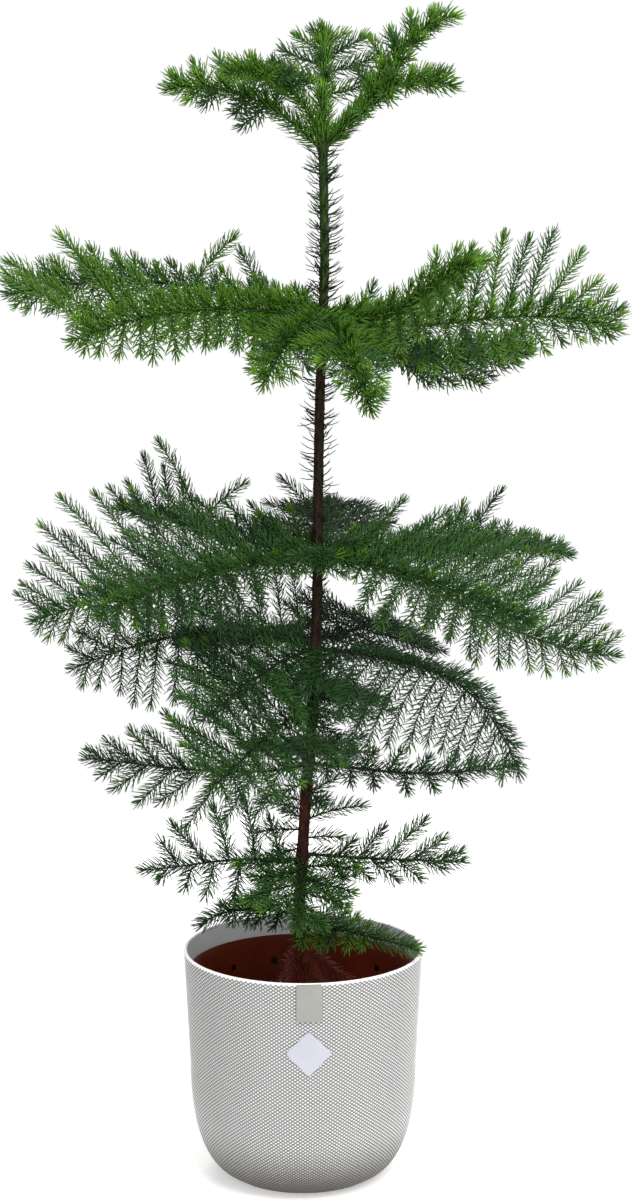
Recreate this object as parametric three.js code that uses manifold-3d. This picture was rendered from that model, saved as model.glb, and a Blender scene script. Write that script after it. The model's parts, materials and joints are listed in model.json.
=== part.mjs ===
// Norfolk Island pine in a round cover pot. Millimetres, +Z up, -Y is the front.
// Origin: centre of the flat underside of the cover pot.
import * as THREE from 'three';
import { mergeVertices } from 'three/addons/utils/BufferGeometryUtils.js';
import Module from 'manifold-3d';

const wasm = await Module();
wasm.setup();

// ---------- driving dimensions ----------

const CLEARANCE = 0.3;

// cover pot: tapered wall that turns into a flat foot through one wide round corner
const POT_HEIGHT = 187;
const POT_RIM_RADIUS = 96;
const POT_CORNER_TOP = 94;
const POT_CORNER_RADIUS_TOP = 91.3;
const POT_FOOT_RADIUS = 46;
const POT_WALL = 3;
const POT_SIDES = 40;

// smooth tab that hangs from the rim on the front of the cover pot
const TAB_WIDTH = 20;
const TAB_HEIGHT = 31.4;
const TAB_PROUD = 1.3;
const TAB_TURN = 3;

// grower's pot, which sits on the round corner inside the cover pot, and the root ball in it
const INNER_POT_BASE = 6.8;
const INNER_POT_DROP = 16;
const INNER_POT_RIM_RADIUS = 89.5;
const INNER_POT_FOOT_RADIUS = 58;
const INNER_POT_WALL = 2;
const INNER_POT_SIDES = 32;
const SOIL_TOP = 137;
const SOIL_SAG = 2.5;

// trunk: heights with the sideways place of the centre line, foot to tip
const TRUNK_COURSE = [
  [137.3, -4.4], [190, -3.7], [215, -3.2], [262, -0.9], [325, 3.1], [390, 8.3],
  [470, 11.3], [553, 11.9], [635, 13.4], [735, 17.2], [820, 15.7], [866, 14],
];
const TRUNK_RADIUS_LOW = 4.7;
const TRUNK_RADIUS_HIGH = 3.3;
const TRUNK_NECK_HEIGHT = 822;
const TRUNK_TIP_RADIUS = 1.2;
const TRUNK_FLARE = 4.2;
const TRUNK_FLARE_LENGTH = 8;
const TRUNK_SIDES = 8;
const TRUNK_RINGS = 15;

// boughs: radius at the trunk and where the foliage begins, and how far they stay bare
const BOUGH_RADIUS = 1.7;
const BOUGH_END_RADIUS = 1.3;
const BOUGH_BARE = 19;
const BOUGH_SIDES = 6;
const BOUGH_STAGGER = 2.5;

// foliage: twigs leave the bough at TWIG_ANGLE, less towards its tip, and bend forward
const TWIG_ANGLE = 84;
const TWIG_ANGLE_LOSS = 44;
const TWIG_CURL = 0.18;
const TWIG_STEPS = 6;
const FIRST_TWIG = 20;
const FULL_TWIGS = 0.25;
const TAPER_SHARE = 0.6;
const FOLIAGE_STATIONS = 5;
const FOLIAGE_SHEATH = 6;
const NEEDLE_MARGIN = 5;
const TWIG_UNEVEN = 0.1;

const LEAF_BRIGHT = 0x5f9440;
const LEAF_MID = 0x3f7030;
const LEAF_DEEP = 0x2c5a2c;
const LEAF_DARK = 0x244826;

// Each bough: place, azimuth (0 is +X, 90 the back), length along its curve, its climb
// in degrees from trunk to tip, then for the twigs on its rear and on its front side
// their longest length and their climb. Where the twigs near the trunk are short, their
// length there and the share of the bough at which they are full follow.
// A leafy bough has foliage from the trunk on; a drooping one has hanging front twigs;
// taper is the outer share of the bough over which its twigs shorten, and spread the
// angle at which they leave it.
const USUAL = { leafy: false, droop: 0, taper: TAPER_SHARE, spread: TWIG_ANGLE };
const bough = (place, azimuth, length, climb, rear, front, own = {}) => (
  { place, azimuth, length, climb, rear, front, ...USUAL, ...own }
);

const WHORLS = [
  { name: 'top', height: 822, pad: 8.5, color: LEAF_BRIGHT, boughs: [
    bough('left', 192, 134, [44, 38, 22, 6, -8], [46, 52], [36, -35]),
    bough('front', 226, 124, [60, 50, 26, 4, -10], [32, 8], [34, 0]),
    bough('front_right', 338, 124, [44, 50, 30, 2, -14], [36, 40], [28, -20]),
    bough('right', 2, 143, [36, 47, 60, 46, 6], [36, 40], [28, -20]),
    bough('back', 88, 120, [62, 62, 50, 26], [44, 10], [50, 10], { leafy: true }),
  ] },
  { name: 'upper', height: 695, pad: 8, color: LEAF_BRIGHT, boughs: [
    bough('front', 283, 165, [-8, -16, -26, -34], [30, -5], [30, -5]),
    bough('front_right', 316, 165, [-12, 0, 24, 38, 4], [40, 10], [40, -50], { taper: 0.35 }),
    bough('right', 357, 230, [-16, 2, 8, -2, -18], [82, 66, 8, 0.62], [40, -62, 20, 0.4], { taper: 0.5 }),
    bough('back_right', 30, 205, [-36, -20, 4, 10], [44, 35, 8, 0.7], [50, -20], { leafy: true }),
    bough('back', 108, 150, [-12, -8, -2, 2], [42, 8], [42, 8], { leafy: true }),
    bough('back_left', 168, 258, [12, 10, 4, -4, -14], [50, 55, 10, 0.75], [50, -45], { taper: 0.45 }),
    bough('left', 207, 212, [8, 6, -2, -12, -20], [134, 68, 16, 0.85], [34, -55], { taper: 0.32 }),
    bough('front_left', 246, 122, [-8, -18, -30, -42], [28, -5], [30, -40]),
  ] },
  { name: 'middle', height: 507, pad: 6.5, color: LEAF_MID, boughs: [
    bough('front_right', 322, 205, [0, -6, -12, -18], [85, 30], [60, -35, 12, 0.45]),
    bough('right', 346, 249, [-8, -20, -26, -18, 0], [92, 60, 30, 0.5], [44, -58, 10, 0.55]),
    bough('back_right', 20, 220, [6, 4, 0, -8, -14], [50, 25, 20, 0.6], [60, 0]),
    bough('back', 85, 165, [12, 8, 4, 0], [52, 5], [52, 5]),
    bough('back_left', 158, 180, [8, 10, 12, 10, 4], [58, 74, 14, 0.8], [30, 25, 10, 0.8], { taper: 0.35 }),
    bough('left', 190, 230, [-2, -8, -14, -18, -16], [98, 66, 34, 0.6], [62, -60, 10, 0.5], { taper: 0.5 }),
    bough('front_left', 216, 205, [2, -4, -10, -18], [85, 35], [60, -35, 12, 0.45]),
  ] },
  { name: 'lower', height: 435, pad: 6, color: LEAF_DARK, boughs: [
    bough('front_right', 308, 262, [3, 3, 0, -8, -36, -62], [30, -10], [80, -34, 30, 0.4], { droop: 0.9 }),
    bough('back_right', 55, 150, [5, 0, -10, -25], [65, 20], [65, -20], { leafy: true }),
    bough('back_left', 130, 160, [5, 0, -10, -25], [65, 0], [65, 0], { leafy: true }),
    bough('left', 198, 200, [12, 8, -2, -14, -20], [76, 60], [66, -60], { droop: 1 }),
    bough('front_left', 232, 145, [-2, -12, -20, -20], [75, 35], [50, -50], { leafy: true }),
  ] },
  { name: 'low', height: 387, pad: 6, color: LEAF_MID, boughs: [
    bough('front_left', 238, 150, [-2, -14, -20, -15], [92, 50], [55, -30], { leafy: true }),
    bough('back_right', 75, 115, [5, -4, -10, -14], [50, 10], [50, -20], { leafy: true }),
  ] },
  { name: 'skirt', height: 341, pad: 6, color: LEAF_MID, boughs: [
    bough('front_right', 348, 166, [-2, -4, 6, 10], [24, 30], [22, -25], { leafy: true }),
    bough('back', 95, 130, [0, -8, -12, -10], [50, 0], [50, 0], { leafy: true }),
    bough('left', 190, 178, [-14, 2, 6, 10, 8], [50, 52], [50, -60], { leafy: true, spread: 58 }),
  ] },
  { name: 'bottom', height: 262, pad: 5.5, color: LEAF_DEEP, boughs: [
    bough('front', 268, 88, [-12, -22, -32], [44, -8], [44, -8], { leafy: true }),
    bough('right', 353, 128, [-2, -2, 0, 0], [46, 52, 16, 0.5], [30, -40], { spread: 56 }),
    bough('left', 184, 127, [3, 0, -8, -4], [50, 68], [34, -50]),
  ] },
  { name: 'lowest', height: 212, pad: 5, color: LEAF_DEEP, boughs: [
    bough('right', 335, 104, [-4, -6, -6, -8], [15, 20, 22, 0.5], [14, -20, 26, 0.5], { leafy: true }),
    bough('left', 186, 82, [12, 8, -10, -36], [18, 10], [18, -30], { leafy: true }),
  ] },
];

// ---------- materials ----------

const finish = (color, roughness) => new THREE.MeshStandardMaterial({ color, roughness, metalness: 0 });
const potPlastic = finish(0xe9e9e6, 0.55);
const innerPotPlastic = finish(0x6b2413, 0.6);
const pottingSoil = finish(0x2a1a12, 0.95);
const bark = finish(0x4a2a1a, 0.85);

// ---------- solids from rings of points ----------

const vector = (x, y, z) => new THREE.Vector3(x, y, z);

function closedSolid(rings) {
  // Skin over rings of equal length, closed at both ends by a fan from the ring's middle.
  const points = [];
  const faces = [];
  const count = rings[0].length;
  rings.forEach((ring) => points.push(...ring));
  for (let i = 0; i < rings.length - 1; i += 1) {
    for (let j = 0; j < count; j += 1) {
      const a = i * count + j;
      const b = i * count + (j + 1) % count;
      faces.push([a, b, b + count], [a, b + count, a + count]);
    }
  }
  const close = (ring, start, flip) => {
    const middle = ring.reduce((sum, p) => sum.add(p), vector(0, 0, 0)).divideScalar(count);
    const centre = points.push(middle) - 1;
    for (let j = 0; j < count; j += 1) {
      const edge = [start + j, start + (j + 1) % count];
      faces.push(flip ? [centre, edge[1], edge[0]] : [centre, edge[0], edge[1]]);
    }
  };
  close(rings[0], 0, true);
  close(rings[rings.length - 1], (rings.length - 1) * count, false);
  return facedOutward(points, faces);
}

function facedOutward(points, faces) {
  let volume = 0;
  faces.forEach(([a, b, c]) => {
    volume += points[a].dot(points[b].clone().cross(points[c]));
  });
  const order = volume < 0 ? faces.map(([a, b, c]) => [a, c, b]) : faces;
  const geometry = new THREE.BufferGeometry();
  const places = points.flatMap((p) => [p.x, p.y, p.z]);
  geometry.setAttribute('position', new THREE.Float32BufferAttribute(places, 3));
  geometry.setIndex(order.flat());
  return geometry;
}

function toManifold(geometry) {
  const bare = geometry.clone();
  bare.deleteAttribute('normal');
  bare.deleteAttribute('uv');
  const merged = mergeVertices(bare, 1e-4);
  return new wasm.Manifold(new wasm.Mesh({
    numProp: 3,
    vertProperties: new Float32Array(merged.attributes.position.array),
    triVerts: new Uint32Array(merged.index.array),
  }));
}

function fromManifold(solid) {
  const mesh = solid.getMesh();
  const geometry = new THREE.BufferGeometry();
  geometry.setAttribute('position', new THREE.Float32BufferAttribute(mesh.vertProperties, 3));
  geometry.setIndex(Array.from(mesh.triVerts));
  return geometry;
}

function largestPiece(solid) {
  const pieces = solid.decompose();
  return pieces.reduce((best, piece) => (piece.volume() > best.volume() ? piece : best));
}

// ---------- trunk ----------

function interpolate(x, xs, ys) {
  const last = xs.length - 1;
  if (x <= xs[0]) return ys[0];
  if (x >= xs[last]) return ys[last];
  const i = xs.findIndex((value) => value > x) - 1;
  return ys[i] + (ys[i + 1] - ys[i]) * (x - xs[i]) / (xs[i + 1] - xs[i]);
}

const trunkHeights = TRUNK_COURSE.map(([height]) => height);
const trunkPlaces = TRUNK_COURSE.map(([, place]) => place);
const TRUNK_FOOT = trunkHeights[0];
const TRUNK_TIP = trunkHeights[trunkHeights.length - 1];

const trunkCentre = (z) => vector(interpolate(z, trunkHeights, trunkPlaces), 0, z);

function trunkRadius(z) {
  const flare = TRUNK_FLARE * Math.exp(-(z - TRUNK_FOOT) / TRUNK_FLARE_LENGTH);
  if (z > TRUNK_NECK_HEIGHT) {
    return interpolate(z, [TRUNK_NECK_HEIGHT, TRUNK_TIP], [TRUNK_RADIUS_HIGH, TRUNK_TIP_RADIUS]);
  }
  return interpolate(z, [TRUNK_FOOT, TRUNK_NECK_HEIGHT], [TRUNK_RADIUS_LOW, TRUNK_RADIUS_HIGH]) + flare;
}

function trunkSolid(extra) {
  const rings = [];
  for (let i = 0; i <= TRUNK_RINGS; i += 1) {
    const z = TRUNK_FOOT + (TRUNK_TIP - TRUNK_FOOT) * (i / TRUNK_RINGS) ** 1.6;
    const ring = [];
    for (let j = 0; j < TRUNK_SIDES; j += 1) {
      const angle = (j / TRUNK_SIDES) * 2 * Math.PI;
      const radius = trunkRadius(z) + extra;
      ring.push(trunkCentre(z).add(vector(radius * Math.cos(angle), radius * Math.sin(angle), 0)));
    }
    rings.push(ring);
  }
  return closedSolid(rings);
}

// ---------- boughs and foliage ----------

const COURSE_STEPS = 48;
const UP = vector(0, 0, 1);
const degrees = THREE.MathUtils.degToRad;

function boughCourse(bough, height) {
  // Centre line of the bough from the trunk's axis, in equal steps along the curve.
  const step = bough.length / COURSE_STEPS;
  const stops = bough.climb.map((_, i) => i / (bough.climb.length - 1));
  const turn = degrees(bough.azimuth);
  const points = [trunkCentre(height)];
  for (let i = 0; i < COURSE_STEPS; i += 1) {
    const climb = degrees(interpolate((i + 0.5) / COURSE_STEPS, stops, bough.climb));
    const level = Math.cos(climb);
    const stride = vector(level * Math.cos(turn), level * Math.sin(turn), Math.sin(climb));
    points.push(points[i].clone().addScaledVector(stride, step));
  }
  return points;
}

function frameAt(course, length, along) {
  // Point, forward, sideways and upward directions at a distance along the bough.
  const place = Math.min(Math.max(along / length, 0), 1) * COURSE_STEPS;
  const i = Math.min(Math.floor(place), COURSE_STEPS - 1);
  const forward = course[i + 1].clone().sub(course[i]).normalize();
  const point = course[i].clone().lerp(course[i + 1], place - i);
  if (along > length) point.addScaledVector(forward, along - length);
  const side = forward.clone().cross(UP).normalize();
  return { point, forward, side, up: side.clone().cross(forward) };
}

function wingAt(bough, frame, along, hand, extra) {
  // One side's twig at this station: half way point, tip and the pad's own normal.
  const rearward = frame.side.y * hand > 0;
  const [longest, climb, shortest = longest / 2, full = FULL_TWIGS] = rearward ? bough.rear : bough.front;
  const t = along / bough.length;
  const grown = Math.min(1, Math.max(0, 1 - (full - t) / FULL_TWIGS));
  const taper = Math.min(1, Math.max(0.02, (1.04 - t) / bough.taper)) ** 0.8;
  const fill = (shortest + (longest - shortest) * grown) / longest * taper;
  const uneven = 1 + TWIG_UNEVEN * Math.sin(along * 0.9 + bough.azimuth + hand);
  const leafed = along >= FIRST_TWIG && along < bough.length - 2;
  const reach = (leafed ? longest * fill * uneven + NEEDLE_MARGIN : FOLIAGE_SHEATH) + extra;
  const raise = degrees(climb);
  const outward = frame.side.clone().multiplyScalar(hand * Math.cos(raise));
  outward.addScaledVector(frame.up, Math.sin(raise));
  const normal = frame.up.clone().multiplyScalar(Math.cos(raise));
  normal.addScaledVector(frame.side, -hand * Math.sin(raise));
  const spread = degrees(bough.spread - TWIG_ANGLE_LOSS * t ** 3);
  const start = frame.forward.clone().multiplyScalar(leafed ? Math.cos(spread) : 0);
  start.addScaledVector(outward, leafed ? Math.sin(spread) : 1);
  const droop = rearward || !leafed ? 0 : bough.droop;
  const point = frame.point.clone();
  const middle = vector(0, 0, 0);
  for (let i = 0; i < TWIG_STEPS; i += 1) {
    const direction = start.clone();
    direction.addScaledVector(frame.forward, leafed ? TWIG_CURL * i / TWIG_STEPS : 0);
    direction.addScaledVector(UP, -droop * i / TWIG_STEPS).normalize();
    point.addScaledVector(direction, reach / TWIG_STEPS);
    if (i === TWIG_STEPS / 2 - 1) middle.copy(point);
  }
  return { middle, tip: point, normal };
}

function foliageSection(bough, course, along, pad, extra) {
  const frame = frameAt(course, bough.length, along);
  const right = wingAt(bough, frame, along, 1, extra);
  const left = wingAt(bough, frame, along, -1, extra);
  const crest = right.normal.clone().add(left.normal).normalize();
  const half = pad + extra;
  const slim = half * 0.7;
  return [
    frame.point.clone().addScaledVector(crest, half),
    right.middle.clone().addScaledVector(right.normal, slim),
    right.tip,
    right.middle.clone().addScaledVector(right.normal, -slim),
    frame.point.clone().addScaledVector(crest, -half),
    left.middle.clone().addScaledVector(left.normal, -slim),
    left.tip,
    left.middle.clone().addScaledVector(left.normal, slim),
  ];
}

function foliageSolid(bough, course, pad, extra) {
  const start = (bough.leafy ? TRUNK_RADIUS_HIGH : BOUGH_BARE + CLEARANCE) - extra;
  const last = bough.length - 8;
  const rings = [];
  const addRing = (along, share) => rings.push(foliageSection(bough, course, along, pad * share, extra));
  addRing(start, 0.5);
  if (bough.leafy) addRing(FIRST_TWIG - 4, 0.7);
  for (let i = 0; i <= FOLIAGE_STATIONS; i += 1) {
    const along = FIRST_TWIG + (last - FIRST_TWIG) * i / FOLIAGE_STATIONS;
    addRing(along, 1 - 0.15 * Math.sin(along * 0.31 + bough.azimuth) - 0.25 * i / FOLIAGE_STATIONS);
  }
  const tip = frameAt(course, bough.length, bough.length + NEEDLE_MARGIN + extra);
  const tipRing = foliageSection(bough, course, bough.length, pad * 0.4, extra);
  const tipMiddle = frameAt(course, bough.length, bough.length).point;
  rings.push(tipRing.map((p) => p.sub(tipMiddle).multiplyScalar(0.35).add(tip.point)));
  return toManifold(closedSolid(rings));
}

function boughSolid(bough, course, extra) {
  // Tapering limb from the trunk's surface to where its foliage begins.
  const rings = [];
  const steps = 2;
  const foot = trunkRadius(course[0].z) + CLEARANCE;
  const tilt = Math.abs(Math.tan(degrees(bough.climb[0])));
  const start = foot / Math.cos(degrees(bough.climb[0])) + BOUGH_RADIUS * tilt - extra;
  for (let i = 0; i <= steps; i += 1) {
    const t = i / steps;
    const frame = frameAt(course, bough.length, start + (BOUGH_BARE + extra - start) * t);
    const radius = BOUGH_RADIUS + (BOUGH_END_RADIUS - BOUGH_RADIUS) * t + extra;
    const ring = [];
    for (let j = 0; j < BOUGH_SIDES; j += 1) {
      const angle = (j / BOUGH_SIDES) * 2 * Math.PI;
      const offset = frame.side.clone().multiplyScalar(radius * Math.cos(angle));
      offset.addScaledVector(frame.up, radius * Math.sin(angle));
      ring.push(frame.point.clone().add(offset));
    }
    rings.push(ring);
  }
  return closedSolid(rings);
}

// ---------- pots and root ball ----------

function potOutline(inset) {
  // Outer wall from the foot up to the rim, moved inward by the given inset.
  const corner = new THREE.QuadraticBezierCurve(
    new THREE.Vector2(POT_FOOT_RADIUS - inset, inset),
    new THREE.Vector2(POT_CORNER_RADIUS_TOP - inset, inset),
    new THREE.Vector2(POT_CORNER_RADIUS_TOP - inset, POT_CORNER_TOP),
  );
  return [...corner.getPoints(6), new THREE.Vector2(POT_RIM_RADIUS - inset, POT_HEIGHT)];
}

function coverPot() {
  const outside = potOutline(0);
  const inside = potOutline(POT_WALL).reverse();
  const profile = [new THREE.Vector2(0, 0), ...outside, ...inside, new THREE.Vector2(0, POT_WALL)];
  return toManifold(new THREE.LatheGeometry(profile, POT_SIDES));
}

function potTab() {
  // Curved plate, rooted in the wall and standing proud of it.
  const spread = TAB_WIDTH / POT_RIM_RADIUS;
  const facing = degrees(-90 + TAB_TURN);
  const slope = (POT_RIM_RADIUS - POT_CORNER_RADIUS_TOP) / (POT_HEIGHT - POT_CORNER_TOP);
  const rings = [-0.5, -0.17, 0.17, 0.5].map((share) => {
    const angle = facing + spread * share;
    const at = (drop, proud) => {
      const radius = POT_RIM_RADIUS - drop * slope + proud;
      return vector(radius * Math.cos(angle), radius * Math.sin(angle), POT_HEIGHT - drop);
    };
    return [at(2, -1.5), at(2, TAB_PROUD), at(TAB_HEIGHT, TAB_PROUD), at(TAB_HEIGHT, -1.5)];
  });
  return toManifold(closedSolid(rings));
}

const innerPotTop = POT_HEIGHT - INNER_POT_DROP;

function innerPotRadius(z) {
  return interpolate(z, [INNER_POT_BASE, innerPotTop], [INNER_POT_FOOT_RADIUS, INNER_POT_RIM_RADIUS]);
}

function innerPot() {
  const floor = INNER_POT_BASE + INNER_POT_WALL;
  const profile = [
    new THREE.Vector2(0, INNER_POT_BASE),
    new THREE.Vector2(INNER_POT_FOOT_RADIUS, INNER_POT_BASE),
    new THREE.Vector2(INNER_POT_RIM_RADIUS, innerPotTop),
    new THREE.Vector2(INNER_POT_RIM_RADIUS - INNER_POT_WALL, innerPotTop),
    new THREE.Vector2(innerPotRadius(floor) - INNER_POT_WALL, floor),
    new THREE.Vector2(0, floor),
  ];
  return new THREE.LatheGeometry(profile, INNER_POT_SIDES);
}

function rootBall() {
  const bottom = INNER_POT_BASE + INNER_POT_WALL + CLEARANCE;
  const edge = SOIL_TOP - SOIL_SAG;
  const gap = INNER_POT_WALL + 2 * CLEARANCE;
  const profile = [
    new THREE.Vector2(0, bottom),
    new THREE.Vector2(innerPotRadius(bottom) - gap, bottom),
    new THREE.Vector2(innerPotRadius(edge) - gap, edge),
    new THREE.Vector2(50, SOIL_TOP - SOIL_SAG * 0.4),
    new THREE.Vector2(22, SOIL_TOP),
    new THREE.Vector2(0, SOIL_TOP),
  ];
  return new THREE.LatheGeometry(profile, INNER_POT_SIDES);
}

// A turned profile stands along Y; this lays its axis along Z.
const upright = (geometry) => geometry.rotateX(Math.PI / 2);

// ---------- assembly ----------

const plant = new THREE.Group();

function add(name, geometry, material) {
  const mesh = new THREE.Mesh(geometry, material);
  mesh.name = name;
  plant.add(mesh);
}

const potBody = toManifold(upright(fromManifold(coverPot()))).add(potTab());
add('cover_pot', fromManifold(potBody), potPlastic);
add('grower_pot', upright(innerPot()), innerPotPlastic);
add('root_ball', upright(rootBall()), pottingSoil);
add('trunk', trunkSolid(0), bark);

// Foliage is cut back wherever it would meet the trunk, the pot, a bough or a neighbour.
const FAR_ENOUGH = CLEARANCE + 0.15;
const SLIVER = 0.1;
const blockers = [toManifold(trunkSolid(FAR_ENOUGH)), potBody];
const leafJobs = [];

WHORLS.forEach((whorl) => {
  whorl.boughs.forEach((bough, index) => {
    const height = whorl.height + (index % 2 ? BOUGH_STAGGER : -BOUGH_STAGGER);
    const course = boughCourse(bough, height);
    const name = `${whorl.name}_${bough.place}`;
    if (!bough.leafy) {
      add(`${name}_bough`, boughSolid(bough, course, 0), bark);
      blockers.push(toManifold(boughSolid(bough, course, FAR_ENOUGH * 0.5)));
    }
    leafJobs.push({ name, bough, course, pad: whorl.pad, color: whorl.color });
  });
});

leafJobs.forEach(({ name, bough, course, pad, color }) => {
  const whole = foliageSolid(bough, course, pad, 0);
  const cut = blockers.reduce((solid, blocker) => solid.subtract(blocker), whole);
  blockers.push(foliageSolid(bough, course, pad, FAR_ENOUGH));
  add(`${name}_foliage`, fromManifold(largestPiece(cut).simplify(SLIVER)), finish(color, 0.7));
});

export default plant;
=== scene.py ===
"""Looks of a potted Norfolk Island pine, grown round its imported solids. Metres, +Z up, -Y is the front."""

import json
import math
from types import SimpleNamespace

import bmesh
import bpy
import numpy as np
from mathutils import Matrix, Vector


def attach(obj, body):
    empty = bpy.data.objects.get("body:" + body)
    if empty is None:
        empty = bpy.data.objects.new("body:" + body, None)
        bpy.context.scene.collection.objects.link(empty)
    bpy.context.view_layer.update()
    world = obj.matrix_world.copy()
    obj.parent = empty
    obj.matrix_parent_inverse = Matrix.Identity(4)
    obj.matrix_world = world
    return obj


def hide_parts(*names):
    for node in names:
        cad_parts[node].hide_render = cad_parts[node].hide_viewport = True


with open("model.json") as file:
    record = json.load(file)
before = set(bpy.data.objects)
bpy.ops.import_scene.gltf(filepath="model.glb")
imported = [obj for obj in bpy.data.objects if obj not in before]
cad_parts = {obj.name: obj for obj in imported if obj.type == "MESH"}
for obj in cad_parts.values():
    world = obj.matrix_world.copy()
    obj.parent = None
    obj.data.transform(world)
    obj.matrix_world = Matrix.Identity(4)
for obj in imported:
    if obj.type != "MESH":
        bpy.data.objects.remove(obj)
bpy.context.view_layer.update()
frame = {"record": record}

# material slot of each solid by its node
SLOTS = {entry["node"]: entry["material_slot"] for entry in frame["record"]["subparts"]}

MM = 0.001
BODY = "root"
SEED = 20
UP = np.array([0.0, 0.0, 1.0])


# ---------- sizes ----------

# cover pot, as in its solid
POT_TOP = 187 * MM
POT_RIM_RADIUS = 96 * MM
POT_CORNER_TOP = 94 * MM
POT_CORNER_RADIUS = 91.3 * MM
POT_FOOT_RADIUS = 46 * MM
POT_WALL = 2.2 * MM
POT_LIP = 0.6 * MM
KNURLS_ROUND = 144
KNURL_HEIGHT = 2.85 * MM
KNURL_DEPTH = 0.42 * MM
RIM_BAND = 0.8 * MM

TAB_CENTRE = 4.9 * MM
TAB_WIDTH = 20 * MM
TAB_TOP = 186.3 * MM
TAB_BOTTOM = 155.6 * MM
TAB_THICK = 1.3 * MM
STICKER_HEIGHT = 129.5 * MM
STICKER_REACH = 17.7 * MM
STICKER_THICK = 0.25 * MM

GROWER_BASE = 6.8 * MM
GROWER_TOP = 171 * MM
GROWER_FOOT_RADIUS = 58 * MM
GROWER_RIM_RADIUS = 89.5 * MM
GROWER_LIP_RADIUS = 91.6 * MM
GROWER_WALL = 1.2 * MM
GROWER_STEPS = 300
# below this height the gap between the two pots is dark: the pot's white inner wall takes a dark painted shade
# there
DAYLIGHT_DEPTH = 165 * MM
HOLE_HEIGHT = 150.5 * MM
HOLE_RADIUS = 2.8 * MM
HOLE_ANGLES = (107, 134, 197, 224, 287, 314, 17, 44)

SOIL_TOP = 137 * MM
SOIL_SAG = 2.5 * MM
SOIL_LUMP = 1.6 * MM
SOIL_INSET = 3.4 * MM
SOIL_STEPS = 110

# trunk: heights with the sideways place of the centre line
TRUNK_COURSE = [
    (137.3, -4.4), (190, -3.7), (215, -3.2), (262, -0.9), (325, 3.1), (390, 8.3),
    (470, 11.3), (553, 11.9), (635, 13.4), (735, 17.2), (820, 15.7), (866, 14),
]
TRUNK_FOOT, TRUNK_TOP = TRUNK_COURSE[0][0] * MM, TRUNK_COURSE[-1][0] * MM
TRUNK_RADIUS_LOW = 4.7 * MM
TRUNK_RADIUS_HIGH = 3.3 * MM
TRUNK_NECK = 822 * MM
TRUNK_TIP_RADIUS = 1.0 * MM
TRUNK_FLARE = 4.2 * MM
TRUNK_FLARE_LENGTH = 8 * MM

# bark: rows and sides of its mesh, then its leaf cushions, roughness and a swelling at each tier
TRUNK_ROWS = 560
TRUNK_SIDES = 22
TRUNK_SMOOTHING = 41
CUSHIONS_ROUND = 5
CUSHION_CLIMB = 0.9
CUSHION_HEIGHT = 0.28 * MM
BARK_ROUGHNESS = 0.22 * MM
COLLAR_HEIGHT = 1.0 * MM
COLLAR_REACH = 5.0

# growth rule of a frond
COURSE_STEPS = 48
TWIG_ANGLE = 84
TWIG_ANGLE_LOSS = 44
TWIG_CURL = 0.18
SHORTEST_TWIG = 11 * MM
TWIG_STEPS = 7
FULL_TWIGS = 0.25
TAPER_SHARE = 0.6
TAPER_END = 1.04
TAPER_POWER = 0.8
LEAST_TAPER = 0.02
LAST_PAIR = 12 * MM
LAST_TWIG = 9 * MM
TWIG_PLACE_SPREAD = 0.08
TWIG_LENGTH_SPREAD = 0.08
TWIG_CLIMB_SPREAD = 5
TWIG_ANGLE_SPREAD = 4
LONE_TWIG_LIFT = 8
LONE_TWIG_BEND = 22

# radii of stems in millimetres: boughs at these shares of their length, then twigs at foot and tip
BOUGH_SHARES = (0, 0.12, 1)
BOUGH_RADII = (1.8, 1.25, 0.5)
TWIG_RADII = (0.6, 0.32)
SMALL_TWIG_RADII = (0.8, 0.35)

# needles: lean in degrees and share of their length, each by millimetres left to the tip
LEAN_TO_TIP = ((0, 3, 9), (30, 50, 64))
SIZE_TO_TIP = ((0, 4, 12), (0.66, 0.82, 1.0))
TIP_NEEDLES = 3
TIP_TINT_REACH = 5
MAIN_SHARE = 0.6
FRESH_SHARE = 0.35
NEEDLE_BEND = 0.32
NEEDLE_LIFT = 0.10
LEAN_SPREAD = 6
AIM_SPREAD = 0.05
NEEDLE_LENGTH_SPREAD = 0.10
NEEDLE_WIDTH_SPREAD = 0.08
GOLDEN_TURN = math.radians(137.508)


def bough(place, azimuth, length, climb, rear, front, droop=0.0, taper=TAPER_SHARE, spread=TWIG_ANGLE):
    """Azimuth 0 is +X and 90 the back; climb runs in degrees from trunk to tip; rear and front
    hold the twigs' longest length, their climb and, where set, their length near the trunk and
    the share of the bough at which they are full; droop bends front twigs down, taper is the outer
    share where twigs shorten, and spread the angle at which they leave the bough."""
    return SimpleNamespace(
        place=place, azimuth=azimuth, length=length * MM, climb=climb,
        rear=rear, front=front, droop=droop, taper=taper, spread=spread,
    )


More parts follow.
